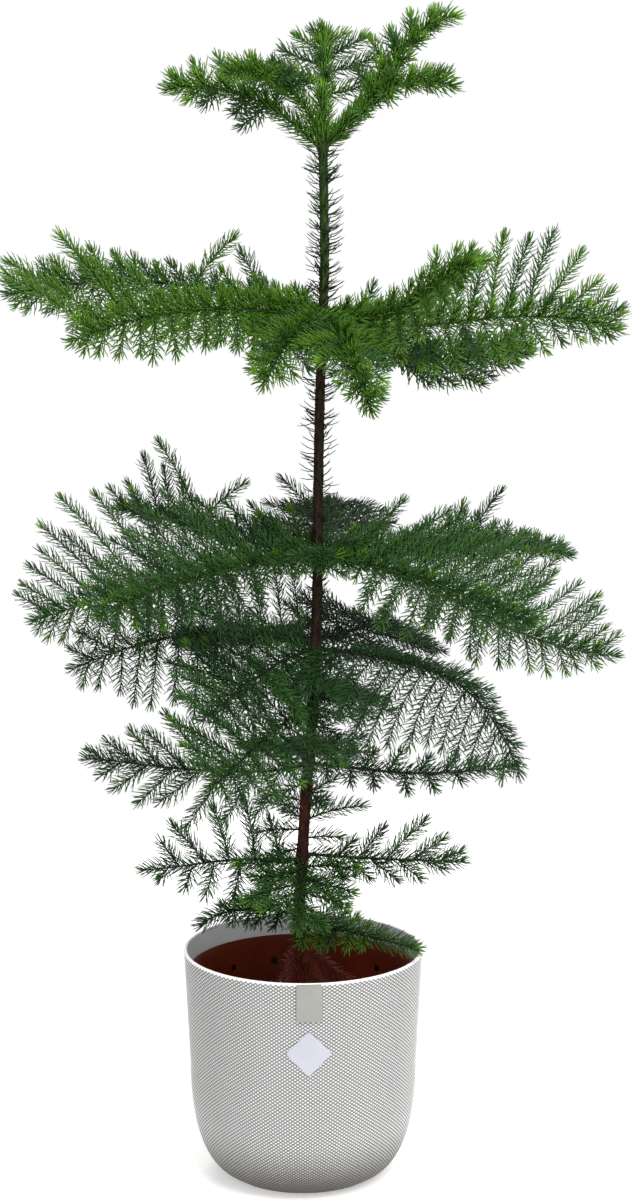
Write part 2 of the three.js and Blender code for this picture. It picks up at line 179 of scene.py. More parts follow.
WHORLS = [("top", 822, [
    bough("left", 192, 134, [44, 38, 22, 6, -8], [46, 52], [36, -35]),
    bough("front", 226, 124, [60, 50, 26, 4, -10], [32, 8], [34, 0]),
    bough("front_right", 338, 124, [44, 50, 30, 2, -14], [36, 40], [28, -20]),
    bough("right", 2, 143, [36, 47, 60, 46, 6], [36, 40], [28, -20]),
    bough("back", 88, 120, [62, 62, 50, 26], [44, 10], [50, 10]),
]), ("upper", 695, [
    bough("front", 283, 165, [-8, -16, -26, -34], [30, -5], [30, -5]),
    bough("front_right", 316, 165, [-12, 0, 24, 38, 4], [40, 10], [40, -50], taper=0.35),
    bough("right", 357, 230, [-16, 2, 8, -2, -18], [82, 66, 8, 0.62], [40, -62, 20, 0.4], taper=0.5),
    bough("back_right", 30, 205, [-36, -20, 4, 10], [44, 35, 8, 0.7], [50, -20]),
    bough("back", 108, 150, [-12, -8, -2, 2], [42, 8], [42, 8]),
    bough("back_left", 168, 258, [12, 10, 4, -4, -14], [50, 55, 10, 0.75], [50, -45], taper=0.45),
    bough("left", 207, 212, [8, 6, -2, -12, -20], [134, 68, 16, 0.85], [34, -55], taper=0.32),
    bough("front_left", 246, 122, [-8, -18, -30, -42], [28, -5], [30, -40]),
]), ("middle", 507, [
    bough("front_right", 322, 205, [0, -6, -12, -18], [85, 30], [60, -35, 12, 0.45]),
    bough("right", 346, 249, [-8, -20, -26, -18, 0], [92, 60, 30, 0.5], [44, -58, 10, 0.55]),
    bough("back_right", 20, 220, [6, 4, 0, -8, -14], [50, 25, 20, 0.6], [60, 0]),
    bough("back", 85, 165, [12, 8, 4, 0], [52, 5], [52, 5]),
    bough("back_left", 158, 180, [8, 10, 12, 10, 4], [58, 74, 14, 0.8], [30, 25, 10, 0.8], taper=0.35),
    bough("left", 190, 230, [-2, -8, -14, -18, -16], [98, 66, 34, 0.6], [62, -60, 10, 0.5], taper=0.5),
    bough("front_left", 216, 205, [2, -4, -10, -18], [85, 35], [60, -35, 12, 0.45]),
]), ("lower", 435, [
    bough("front_right", 308, 262, [3, 3, 0, -8, -36, -62], [30, -10], [80, -34, 30, 0.4], droop=0.9),
    bough("back_right", 55, 150, [5, 0, -10, -25], [65, 20], [65, -20]),
    bough("back_left", 130, 160, [5, 0, -10, -25], [65, 0], [65, 0]),
    bough("left", 198, 200, [12, 8, -2, -14, -20], [76, 60], [66, -60], droop=1.0),
    bough("front_left", 232, 145, [-2, -12, -20, -20], [75, 35], [50, -50]),
]), ("low", 387, [
    bough("front_left", 238, 150, [-2, -14, -20, -15], [92, 50], [55, -30]),
    bough("back_right", 75, 115, [5, -4, -10, -14], [50, 10], [50, -20]),
]), ("skirt", 341, [
    bough("front_right", 348, 166, [-2, -4, 6, 10], [24, 30], [22, -25]),
    bough("back", 95, 130, [0, -8, -12, -10], [50, 0], [50, 0]),
    bough("left", 190, 178, [-14, 2, 6, 10, 8], [50, 52], [50, -60], spread=58),
]), ("bottom", 262, [
    bough("front", 268, 88, [-12, -22, -32], [44, -8], [44, -8]),
    bough("right", 353, 128, [-2, -2, 0, 0], [46, 52, 16, 0.5], [30, -40], spread=56),
    bough("left", 184, 127, [3, 0, -8, -4], [50, 68], [34, -50]),
]), ("lowest", 212, [
    bough("right", 335, 104, [-4, -6, -6, -8], [15, 20, 22, 0.5], [14, -20, 26, 0.5]),
    bough("left", 186, 82, [12, 8, -10, -36], [18, 10], [18, -30]),
])]
BOUGH_STAGGER = 2.5

# how each tier is leafed: where twigs start and their spacing, then needles by length, width and count
# along twigs and boughs, the greens of its sprays, its wood, and the length of twigs on top of its boughs
def leafing(first, gap, needle, width, dense, bough_dense, greens, wood, crest=0):
    return SimpleNamespace(
        first=first * MM, gap=gap * MM, needle=needle * MM, width=width * MM,
        dense=dense, bough_dense=bough_dense, greens=greens, wood=wood, crest=crest * MM,
    )


STYLES = {
    "top": leafing(50, 17, 13.0, 1.25, 1800, 2900, ("bright", "green", "fresh"), "stem_green", 12),
    "upper": leafing(14, 13.5, 12.5, 1.2, 1600, 2400, ("bright", "green", "fresh"), "stem_green", 18),
    "middle": leafing(10, 12, 11.0, 1.05, 1560, 2500, ("green", "deep", "bright"), "stem_green", 10),
    "lower": leafing(16, 15, 11.0, 1.05, 1600, 2000, ("dark", "deep", "deep"), "stem_dark"),
    "low": leafing(12, 13, 11.0, 1.1, 1700, 2200, ("deep", "green", "green"), "stem_dark"),
    "skirt": leafing(14, 21, 12.0, 1.1, 1750, 2200, ("deep", "green", "green"), "stem_dark"),
    "bottom": leafing(18, 20, 12.5, 1.1, 1900, 1800, ("deep", "green", "green"), "stem_dark"),
    "lowest": leafing(10, 12, 12.5, 1.15, 1750, 2600, ("deep", "green", "green"), "stem_dark"),
}

# limbs whose greens differ from their tier's
OWN_GREENS = {
    "upper_back": ("green", "deep", "green"),
    "upper_back_right": ("green", "green", "bright"),
    "upper_back_left": ("green", "bright", "bright"),
    "upper_left": ("bright", "bright", "fresh"),
    "upper_front_right": ("bright", "bright", "fresh"),
    "middle_front_right": ("green", "green", "bright"),
    "middle_back": ("deep", "dark", "deep"),
    "middle_right": ("green", "green", "bright"),
    "lower_front_right": ("deep", "deep", "green"),
    "lower_left": ("deep", "green", "green"),
    "lower_front_left": ("deep", "green", "green"),
    "low_front_left": ("green", "deep", "bright"),
    "bottom_front": ("green", "green", "bright"),
    "lowest_right": ("green", "bright", "bright"),
}

# lone twigs that stand off a bough: distance along it, azimuth, climb and length
LONE_TWIGS = {
    "upper_front": [
        (16, 178, -8, 46), (16, 2, -6, 44), (30, 174, -8, 50), (30, 6, -6, 48),
        (46, 180, -10, 42), (46, 0, -8, 42), (62, 186, -6, 34), (62, 354, -6, 34),
    ],
    "upper_front_left": [(22, 345, -6, 44), (36, 340, -8, 40), (22, 172, -4, 44), (40, 176, -6, 38)],
    "upper_back_left": [(105, 20, 50, 50), (50, 160, 65, 38)],
    "upper_back": [(110, 180, 70, 40), (90, 0, 62, 32)],
    "upper_back_right": [(40, 0, 78, 40)],
    "middle_back": [(60, 180, 50, 52)],
    "middle_back_left": [(104, 180, 67, 76), (106, 0, 44, 52)],
    "middle_back_right": [(130, 0, 60, 48), (115, 0, 76, 32)],
    "middle_front_right": [(8, 200, 22, 40), (12, 212, 2, 50), (20, 222, -6, 48), (28, 205, 10, 46)],
    "middle_front_left": [(8, 338, 22, 40), (12, 325, 2, 50), (20, 318, -6, 48), (28, 332, 10, 46)],
    "lower_front_right": [(10, 212, -20, 55), (22, 222, -26, 60), (34, 228, -30, 60)],
    "lower_front_left": [(12, 320, -22, 50), (24, 312, -30, 56)],
    "low_front_left": [(10, 335, -4, 42), (20, 322, -14, 46), (30, 330, 6, 44), (14, 345, 30, 40)],
    "bottom_front": [(8, 200, 4, 52), (14, 342, 6, 46), (16, 212, -22, 50), (24, 326, -26, 44)],
}
# limbs with no twigs on top from the trunk to here
BARE_CREST = {"upper_front": 50, "upper_front_left": 50}
# faces after which the next limb's needles start a new piece
FULL_PIECE = 129200

# stage
WORLD_LIGHT = 0.42
FLOOR_HALF = 1.2
FLOOR_GLOW = 0.42
SENSOR_HEIGHT = 36
FOCAL_PIXELS = 2570
IMAGE_HEIGHT = 1200
CAMERA_PITCH = 9.35
CAMERA_PLACE = (0.0103, -2.0, 0.80)
LAMPS = [
    # name, place, target, size, watts
    ("key_lamp", (0.9, -1.5, 2.4), (0, 0, 0.5), 1.5, 64),
    ("fill_lamp", (0.2, -2.6, 0.9), (0, 0, 0.3), 1.8, 23),
    ("rim_lamp", (-0.4, 1.8, 2.4), (0, 0, 0.6), 1.4, 26),
]


# ---------- finishes ----------

def linear(red, green, blue):
    """Screen colour, 0 to 255, as the linear colour a shader takes."""
    def channel(value):
        value /= 255
        return value / 12.92 if value <= 0.04045 else ((value + 0.055) / 1.055) ** 2.4
    return channel(red), channel(green), channel(blue), 1.0


def set_inputs(node, values):
    for name, value in values.items():
        node.inputs[name].default_value = value
    return node


def new_finish(name, colour, roughness, **sockets):
    """A material with its Principled shader; returns material, nodes, links and the shader."""
    material = bpy.data.materials.new(name)
    material.use_nodes = True
    nodes = material.node_tree.nodes
    shader = set_inputs(nodes["Principled BSDF"], {"Base Color": colour, "Roughness": roughness, **sockets})
    return material, nodes, material.node_tree.links, shader


NEEDLE_COLOURS = {
    "fresh": (104, 150, 40),
    "bright": (76, 120, 27),
    "green": (54, 94, 37),
    "deep": (39, 74, 34),
    "dark": (25, 50, 25),
    "dry": (116, 46, 30),
}
NEEDLE_ORDER = list(NEEDLE_COLOURS)


def new_node(nodes, kind, inputs=None):
    """A shader node with values set on its inputs."""
    return set_inputs(nodes.new("ShaderNode" + kind), inputs or {})


def math_node(nodes, operation, factor):
    """A node that multiplies by the factor, and may add."""
    made = new_node(nodes, "Math", {1: factor})
    made.operation = operation
    return made


def colour_mix(nodes, blend, inputs=None):
    """A node that mixes two colours, its inputs set once it takes colours."""
    made = nodes.new("ShaderNodeMix")
    made.data_type = "RGBA"
    made.blend_type = blend
    return set_inputs(made, inputs or {})


def wire(links, *rows):
    """Links, each given as a node, its output, the next node and its input."""
    for source, output, target, taker in rows:
        links.new(source.outputs[output], target.inputs[taker])


def speckle_group():
    """Shared effect: a colour broken up by coarse and fine noise, with a matching relief height."""
    group = bpy.data.node_groups.new("speckle", "ShaderNodeTree")
    takes = {"Vector": "Vector", "Light": "Color", "Dark": "Color", "Coarse": "Float", "Fine": "Float"}
    for name, kind in takes.items():
        group.interface.new_socket(name, in_out="INPUT", socket_type="NodeSocket" + kind)
    for name, kind in {"Color": "Color", "Height": "Float"}.items():
        group.interface.new_socket(name, in_out="OUTPUT", socket_type="NodeSocket" + kind)
    nodes = group.nodes
    start = nodes.new("NodeGroupInput")
    end = nodes.new("NodeGroupOutput")
    coarse = new_node(nodes, "TexNoise", {"Detail": 4})
    fine = new_node(nodes, "TexNoise", {"Detail": 4})
    half = math_node(nodes, "MULTIPLY", 0.5)
    both = math_node(nodes, "MULTIPLY_ADD", 0.5)
    ramp = new_node(nodes, "MapRange", {"From Min": 0.36, "From Max": 0.64})
    mix = colour_mix(nodes, "MIX")
    wire(
        group.links, (start, "Vector", coarse, "Vector"), (start, "Coarse", coarse, "Scale"),
        (start, "Vector", fine, "Vector"), (start, "Fine", fine, "Scale"), (fine, "Fac", half, 0),
        (coarse, "Fac", both, 0), (half, 0, both, 2), (both, 0, ramp, "Value"), (ramp, "Result", mix, "Factor"),
        (start, "Dark", mix, "A"), (start, "Light", mix, "B"), (mix, "Result", end, "Color"),
        (both, 0, end, "Height"),
    )
    return group


SPECKLE = speckle_group()


def speckled(name, light, dark, coarse, fine, roughness, relief, distance, **sockets):
    """A finish of two mixed colours with a fine matching relief; the distance is in millimetres."""
    light, dark = linear(*light), linear(*dark)
    material, nodes, links, shader = new_finish(name, light, roughness, **sockets)
    place = new_node(nodes, "TexCoord")
    effect = nodes.new("ShaderNodeGroup")
    effect.node_tree = SPECKLE
    set_inputs(effect, {"Light": light, "Dark": dark, "Coarse": coarse, "Fine": fine})
    bump = new_node(nodes, "Bump", {"Strength": relief, "Distance": distance * MM})
    wire(
        links, (place, "Object", effect, "Vector"), (effect, "Color", shader, "Base Color"),
        (effect, "Height", bump, "Height"), (bump, "Normal", shader, "Normal"),
    )
    return material


# colour of the trunk by share of its height, from the soil to its neck
TRUNK_COLOURS = [
    (0.0, (62, 28, 16)), (0.10, (66, 30, 18)), (0.16, (42, 40, 20)), (0.21, (46, 22, 12)),
    (0.30, (50, 23, 14)), (0.45, (42, 27, 16)), (0.70, (40, 29, 16)), (0.795, (54, 38, 18)),
    (0.83, (56, 58, 24)), (0.90, (42, 64, 22)),
]
TRUNK_COLOUR_WANDER = 0.05


def trunk_finish():
    """Green young wood at the top, orange brown below it, then dark and red brown old bark."""
    dull = {"Specular IOR Level": 0.2}
    material, nodes, links, shader = new_finish("trunk_bark", linear(70, 45, 30), 0.85, **dull)
    place = new_node(nodes, "TexCoord")
    split = new_node(nodes, "SeparateXYZ")
    height = new_node(nodes, "MapRange", {"From Min": SOIL_TOP, "From Max": TRUNK_NECK})
    wander = new_node(nodes, "TexNoise", {"Scale": 60})
    shift = math_node(nodes, "MULTIPLY_ADD", TRUNK_COLOUR_WANDER)
    ramp = nodes.new("ShaderNodeValToRGB")
    stops = ramp.color_ramp.elements
    while len(stops) < len(TRUNK_COLOURS):
        stops.new(0.5)
    for stop, (share, colour) in zip(stops, TRUNK_COLOURS):
        stop.position = share
        stop.color = linear(*colour)
    grain = new_node(nodes, "TexNoise", {"Scale": 330, "Detail": 6})
    stretch = new_node(nodes, "Mapping", {"Scale": (1, 1, 0.35)})
    shade = colour_mix(nodes, "MULTIPLY", {"Factor": 1})
    tone = new_node(nodes, "MapRange", {"From Min": 0.35, "From Max": 0.62, "To Min": 0.28, "To Max": 1.5})
    bump = new_node(nodes, "Bump", {"Strength": 0.7, "Distance": 0.5 * MM})
    wire(
        links, (place, "Object", split, 0), (place, "Object", wander, "Vector"),
        (place, "Object", stretch, "Vector"), (stretch, 0, grain, "Vector"), (split, "Z", height, "Value"),
        (wander, "Fac", shift, 0), (height, "Result", shift, 2), (shift, 0, ramp, "Fac"),
        (grain, "Fac", tone, "Value"), (ramp, "Color", shade, "A"), (tone, "Result", shade, "B"),
        (shade, "Result", shader, "Base Color"), (grain, "Fac", bump, "Height"),
        (bump, "Normal", shader, "Normal"),
    )
    return material


def knurled_finish():
    """White plastic: its pits, told by the piece's own attribute, take a grey painted shade, and its foot a
    brownish painted shade.
    """
    material, nodes, links, shader = new_finish("pot_white", linear(238, 238, 237), 0.5)
    pit_shade = nodes.new("ShaderNodeAttribute")
    pit_shade.attribute_name = "pit"
    place = new_node(nodes, "TexCoord")
    split = new_node(nodes, "SeparateXYZ")
    grain = new_node(nodes, "TexNoise", {"Scale": 900})
    bump = new_node(nodes, "Bump", {"Strength": 0.15, "Distance": 0.1 * MM})
    # painted shade: the knurls' pits take a dark grey against the white of their tops
    mix = colour_mix(nodes, "MIX", {"A": linear(255, 255, 254), "B": linear(66, 66, 65)})
    # painted shade: the colour darkens to a brownish grey towards the foot, fading out by 56 mm up
    foot = new_node(nodes, "MapRange", {"From Min": 2 * MM, "From Max": 56 * MM, "To Min": 1, "To Max": 0})
    foot.interpolation_type = "SMOOTHSTEP"
    shade = colour_mix(nodes, "MULTIPLY", {"B": linear(104, 95, 89)})
    wire(
        links, (pit_shade, "Fac", mix, "Factor"), (place, "Object", split, 0), (split, "Z", foot, "Value"),
        (foot, "Result", shade, "Factor"), (mix, "Result", shade, "A"), (shade, "Result", shader, "Base Color"),
        (place, "Object", grain, "Vector"), (grain, "Fac", bump, "Height"), (bump, "Normal", shader, "Normal"),
    )
    return material


MATT = {"Specular IOR Level": 0.15}
FINISH = {
    "trunk": trunk_finish(),
    "pot": knurled_finish(),
    "pot_inside": speckled("pot_inside", (232, 234, 235), (224, 226, 228), 30, 700, 0.5, 0.1, 0.1),
    # painted shade: near black on the pot's white inner wall, low in the gap between the pots
    "pot_inside_painted_shade": speckled("pot_inside_painted_shade", (34, 31, 29), (28, 25, 24), 30, 700, 0.8, 0.1, 0.1),
    "tab": speckled("tab_grey", (146, 147, 142), (137, 138, 133), 40, 700, 0.45, 0.1, 0.1),
    "sticker": speckled("sticker_paper", (182, 183, 193), (175, 176, 187), 60, 900, 0.35, 0.05, 0.05),
    "grower": speckled("grower_terracotta", (106, 34, 10), (82, 24, 6), 45, 500, 0.6, 0.2, 0.2, **MATT),
    "soil": speckled("potting_soil", (58, 40, 28), (20, 13, 10), 220, 1500, 0.95, 1.0, 1.5),
    "grit": speckled("white_grit", (226, 222, 210), (190, 184, 170), 300, 900, 0.9, 0.4, 0.3),
    "chips": speckled("bark_chips", (92, 58, 36), (46, 28, 18), 200, 900, 0.9, 0.5, 0.4),
    "stem_green": speckled("stem_green", (56, 86, 26), (42, 66, 20), 120, 900, 0.7, 0.4, 0.2),
    "stem_dark": speckled("stem_dark", (32, 38, 18), (20, 24, 12), 120, 900, 0.8, 0.4, 0.2),
    "dry": speckled("dry_twig", (96, 38, 22), (60, 22, 14), 150, 900, 0.85, 0.4, 0.3),
}
SHEEN = {"Specular IOR Level": 0.3}
NEEDLES = [
    new_finish("needle_" + name, linear(*colour), 0.5, **SHEEN)[0] for name, colour in NEEDLE_COLOURS.items()
]


# ---------- joined meshes from arrays ----------

class Heap:
    """Gathers many small shapes and makes one mesh of them."""

    def __init__(self):
        self.points = []
        self.faces = []
        self.looks = []
        self.count = 0
        self.size = 0

    def add(self, points, faces, look=0):
        self.points.append(points)
        self.faces.append(faces + self.count)
        self.looks.append(np.broadcast_to(look, len(faces)))
        self.count += len(points)
        self.size += len(faces)

    def piece(self, name, finishes, slot, replaced=(), smooth=True):
        points = np.concatenate(self.points).astype(np.float32)
        faces = np.concatenate(self.faces).astype(np.int32)
        mesh = bpy.data.meshes.new(name)
        mesh.vertices.add(len(points))
        mesh.vertices.foreach_set("co", points.ravel())
        mesh.loops.add(faces.size)
        mesh.loops.foreach_set("vertex_index", faces.ravel())
        mesh.polygons.add(len(faces))
        mesh.polygons.foreach_set("loop_start", np.arange(len(faces), dtype=np.int32) * 3)
        mesh.polygons.foreach_set("material_index", np.concatenate(self.looks).astype(np.int32))
        mesh.polygons.foreach_set("use_smooth", np.full(len(faces), smooth))
        mesh.update(calc_edges=True)
        for finish in finishes:
            mesh.materials.append(finish)
        return stand(name, mesh, replaced)


def shown(name, data):
    """An object with its data, linked into the scene."""
    made = bpy.data.objects.new(name, data)
    bpy.context.scene.collection.objects.link(made)
    return made


def stand(name, mesh, replaced=()):
    """Puts a finished mesh into the scene as a piece of the plant."""
    piece = shown(name, mesh)
    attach(piece, BODY)
    if replaced:
        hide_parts(*replaced)
    return piece


def unit(vectors):
    return vectors / np.maximum(np.linalg.norm(vectors, axis=-1, keepdims=True), 1e-12)


def side_frames(points):
    """Tangent, side and upper direction at each point of a line."""
    forward = unit(np.gradient(points, axis=0))
    helper = np.where(np.abs(forward[:, 2:]) > 0.95, [1.0, 0.0, 0.0], UP)
    side = unit(np.cross(forward, helper))
    return forward, side, np.cross(side, forward)


def wrap_faces(rows, sides):
    """Triangles round rows of ring points, with a fan over each end."""
    near = np.arange(sides)
    far = (near + 1) % sides
    base = (np.arange(rows - 1) * sides)[:, None]
    lower = np.stack([base + near, base + far, base + far + sides], axis=-1).reshape(-1, 3)
    upper = np.stack([base + near, base + far + sides, base + near + sides], axis=-1).reshape(-1, 3)
    fan = np.arange(1, sides - 1)
    start = np.stack([np.zeros_like(fan), fan + 1, fan], axis=-1)
    end = np.stack([np.zeros_like(fan), fan, fan + 1], axis=-1) + (rows - 1) * sides
    return np.concatenate([lower, upper, start, end])


def tube(points, radii, sides):
    """Closed tapering round stem along a line."""
    _, side, upper = side_frames(points)
    angles = np.arange(sides) * 2 * math.pi / sides
    ring = side[:, None] * np.cos(angles)[:, None] + upper[:, None] * np.sin(angles)[:, None]
    body = points[:, None] + ring * np.asarray(radii)[:, None, None]
    return body.reshape(-1, 3), wrap_faces(len(points), sides)[:, ::-1]


# rings of a needle: share of its length and half thickness as a share of its width
NEEDLE_RINGS = ((0.0, 0.42), (0.45, 0.50), (0.82, 0.36))


def needle_faces():
    """Faces of one closed three-sided needle: root, bands between its rings and its point."""
    faces = [[0, 2, 1]]
    last = 3 * (len(NEEDLE_RINGS) - 1)
    for start in range(0, last, 3):
        for k in range(3):
            near, far = start + k, start + (k + 1) % 3
            faces += [[near, far, far + 3], [near, far + 3, near + 3]]
    return np.array(faces + [[last + k, last + (k + 1) % 3, last + 3] for k in range(3)])


NEEDLE_FACES = needle_faces()


def needles(roots, aims, bends, lengths, widths):
    """Awl-shaped needles: three-sided, curved towards bends, closed at the root."""
    across = unit(np.cross(aims, bends))
    over = np.cross(across, aims)
    lengths = lengths[:, None]
    rings = []
    for share, thick in NEEDLE_RINGS:
        centre = roots + (aims * share + over * NEEDLE_BEND * share ** 2) * lengths
        for corner in range(3):
            angle = corner * 2 * math.pi / 3 + math.pi / 2
            spread = across * math.cos(angle) + over * 0.8 * math.sin(angle)
            rings.append(centre + spread * (widths * thick)[:, None])
    tip = roots + (aims * 0.94 + over * NEEDLE_BEND) * lengths
    points = np.stack(rings + [tip], axis=1)
    faces = NEEDLE_FACES[None] + (np.arange(len(roots)) * (NEEDLE_FACES.max() + 1))[:, None, None]
    return points.reshape(-1, 3), faces.reshape(-1, 3)


# ---------- growth ----------

def trunk_centre(height):
    heights, places = np.array(TRUNK_COURSE).T * MM
    return np.array([np.interp(height, heights, places), 0.0, height])


def trunk_radius(height):
    flare = TRUNK_FLARE * math.exp(-(height - TRUNK_FOOT) / TRUNK_FLARE_LENGTH)
    radii = [TRUNK_RADIUS_LOW, TRUNK_RADIUS_HIGH, TRUNK_TIP_RADIUS]
    return float(np.interp(height, [TRUNK_FOOT, TRUNK_NECK, TRUNK_TOP], radii)) + flare


def bough_course(limb, height):
    """Centre line from the trunk's axis in equal steps, as the solids have it."""
    stops = np.linspace(0, 1, len(limb.climb))
    share = (np.arange(COURSE_STEPS) + 0.5) / COURSE_STEPS
    climb = np.radians(np.interp(share, stops, limb.climb))
    turn = math.radians(limb.azimuth)
    strides = np.stack([np.cos(climb) * math.cos(turn), np.cos(climb) * math.sin(turn), np.sin(climb)], axis=1)
    course = np.concatenate([np.zeros((1, 3)), np.cumsum(strides, axis=0)])
    return trunk_centre(height) + course * limb.length / COURSE_STEPS


def steps_along(line):
    return np.linalg.norm(np.diff(line, axis=0), axis=1)


def marks_along(line):
    return np.concatenate([[0], np.cumsum(steps_along(line))])


def read_off(line, marks, places):
    """Values of a line's points at places along it."""
    return np.stack([np.interp(places, marks, values) for values in line.T], axis=1)


def along(points, share):
    """Point, direction, side and upper direction at a share of the line's length."""
    place = min(max(share, 0), 0.9999) * (len(points) - 1)
    i = int(place)
    step = points[i + 1] - points[i]
    side = unit(np.cross(unit(step), UP))
    return points[i] + step * (place - i), unit(step), side, np.cross(side, unit(step))


def twig_course(limb, course, distance, hand, draw):
    """One twig: its line grows from the bough, bending forward, and down where it droops."""
    share = distance / limb.length
    point, forward, side, upper = along(course, share)
    rearward = side[1] * hand > 0
    sizes = limb.rear if rearward else limb.front
    longest, climb = sizes[:2]
    shortest, full = sizes[2:] or (longest / 2, FULL_TWIGS)
    grown = min(1, max(0, 1 - (full - share) / FULL_TWIGS))
    taper = min(1, max(LEAST_TAPER, (TAPER_END - share) / limb.taper)) ** TAPER_POWER
    spread = 1 + TWIG_LENGTH_SPREAD * draw.standard_normal()
    length = (shortest + (longest - shortest) * grown) * taper * spread * MM
    lift = math.radians(climb + TWIG_CLIMB_SPREAD * draw.standard_normal())
    outward = side * hand * math.cos(lift) + upper * math.sin(lift)
    leaving = limb.spread - TWIG_ANGLE_LOSS * share ** 3 + TWIG_ANGLE_SPREAD * draw.standard_normal()
    aim = forward * math.cos(math.radians(leaving)) + outward * math.sin(math.radians(leaving))
    if length < SHORTEST_TWIG:
        return None
    droop = 0 if rearward else limb.droop
    points = [point]
    for step in range(TWIG_STEPS):
        bend = step / TWIG_STEPS
        stride = unit(aim + forward * TWIG_CURL * bend - UP * droop * bend)
        points.append(points[-1] + stride * length / TWIG_STEPS)
    return np.array(points)


def leaf_line(heap, points, radius, style, dense, greens, draw, bare=0.0):
    """Sets needles in a spiral along a stem; the last ones fold forward round its tip."""
    length = steps_along(points).sum()
    count = int((length - bare) * dense)
    if count < 3:
        return
    place = bare + (np.arange(count) + 0.5) / count * (length - bare)
    place = np.concatenate([place, np.full(TIP_NEEDLES, length)])
    count += TIP_NEEDLES
    marks = marks_along(points)
    centre = read_off(points, marks, place)
    forward, side, upper = (unit(read_off(v, marks, place)) for v in side_frames(points))
    turn = np.arange(count) * GOLDEN_TURN + draw.uniform(0, 6.28)
    radial = side * np.cos(turn)[:, None] + upper * np.sin(turn)[:, None]
    left = (length - place) / MM
    lean = np.radians(np.interp(left, *LEAN_TO_TIP) + LEAN_SPREAD * draw.standard_normal(count))
    aims = forward * np.cos(lean)[:, None] + radial * np.sin(lean)[:, None] + UP * NEEDLE_LIFT
    aims = unit(aims + AIM_SPREAD * draw.standard_normal((count, 3)))
    bends = forward * 0.8 + UP * 0.4
    size = style.needle * np.interp(left, *SIZE_TO_TIP)
    size = size * (1 + NEEDLE_LENGTH_SPREAD * draw.standard_normal(count))
    width = style.width * (1 + NEEDLE_WIDTH_SPREAD * draw.standard_normal(count))
    body, faces = needles(centre + radial * radius * 0.6, aims, bends, size, width)
    main, tip = greens
    look = np.where(left < TIP_TINT_REACH, tip, main)
    heap.add(body, faces, np.repeat(look, len(NEEDLE_FACES)))


def spray_greens(greens, draw):
    """Tints of one spray, as places in the needle finishes: its own green and that of its tip."""
    main = greens[0] if draw.random() < MAIN_SHARE else greens[1]
    tip = greens[2] if draw.random() < FRESH_SHARE else main
    return NEEDLE_ORDER.index(main), NEEDLE_ORDER.index(tip)


def lone_twig(limb, course, distance, azimuth, climb, length, draw):
    """A twig that stands off the bough in its own direction, bending over at its end."""
    point, *_ = along(course, distance * MM / limb.length)
    turn = math.radians(azimuth + TWIG_ANGLE_SPREAD * draw.standard_normal())
    points = [point]
    for step in range(TWIG_STEPS):
        lift = math.radians(climb + LONE_TWIG_LIFT - LONE_TWIG_BEND * step / TWIG_STEPS)
        stride = np.array([math.cos(turn) * math.cos(lift), math.sin(turn) * math.cos(lift), math.sin(lift)])
        points.append(points[-1] + stride * length * MM / TWIG_STEPS)
    return np.array(points)


def crest_twig(limb, course, distance, length, draw):
    """A short twig on top of the bough, leaning forward and a little to either side."""
    point, forward, side, upper = along(course, distance / limb.length)
    aim = unit(forward * 0.8 + upper + side * 0.5 * draw.standard_normal())
    shares = np.linspace(0, length * draw.uniform(0.75, 1.1), TWIG_STEPS + 1)
    return point + aim * shares[:, None]


def grow_whorl(name, height, boughs):
    """Twigs, boughs and needles of one tier, as joined pieces."""
    style = STYLES[name]
    limbs, twigs = Heap(), Heap()
    heap, held, number = Heap(), [], 1
    bough_nodes = []

    def set_twig(line):
        twigs.add(*tube(line, np.linspace(*TWIG_RADII, len(line)) * MM, 4))
        leaf_line(heap, line, 0.5 * MM, style, style.dense, spray_greens(greens, draw), draw, bare=1 * MM)

    def finish_needles():
        heap.piece(f"{name}_needles_{number}", NEEDLES, SLOTS[held[0]], held)

    for index, limb in enumerate(boughs):
        draw = np.random.default_rng([SEED, int(height), index])
        node = f"{name}_{limb.place}"
        greens = OWN_GREENS.get(node, style.greens)
        foot = (height + (BOUGH_STAGGER if index % 2 else -BOUGH_STAGGER)) * MM
        course = bough_course(limb, foot)
        if node + "_bough" in SLOTS:
            bough_nodes.append(node + "_bough")
        thick = np.interp(np.linspace(0, 1, len(course)), BOUGH_SHARES, BOUGH_RADII) * MM
        limbs.add(*tube(course, thick, 8))
        if heap.size > FULL_PIECE:
            finish_needles()
            heap, held, number = Heap(), [], number + 1
        held.append(node + "_foliage")
        distance = style.first
        while distance < limb.length - LAST_PAIR:
            for hand in (1, -1):
                stagger = (0.5 if hand < 0 else 0) + TWIG_PLACE_SPREAD * draw.standard_normal()
                place = distance + stagger * style.gap
                if place > limb.length - LAST_TWIG:
                    continue
                line = twig_course(limb, course, place, hand, draw)
                if line is not None:
                    set_twig(line)
            if style.crest and distance > BARE_CREST.get(node, 0) * MM:
                set_twig(crest_twig(limb, course, distance + 0.25 * style.gap, style.crest, draw))
            distance += style.gap
        for spec in LONE_TWIGS.get(node, ()):
            set_twig(lone_twig(limb, course, *spec, draw))
        tints = spray_greens((greens[0], greens[0], greens[2]), draw)
        leaf_line(heap, course, 1.2 * MM, style, style.bough_dense, tints, draw, bare=5 * MM)
    finish_needles()
    limbs.piece(name + "_boughs", [FINISH[style.wood]], "bark", bough_nodes)
    twigs.piece(name + "_twigs", [FINISH[style.wood]], "bark")


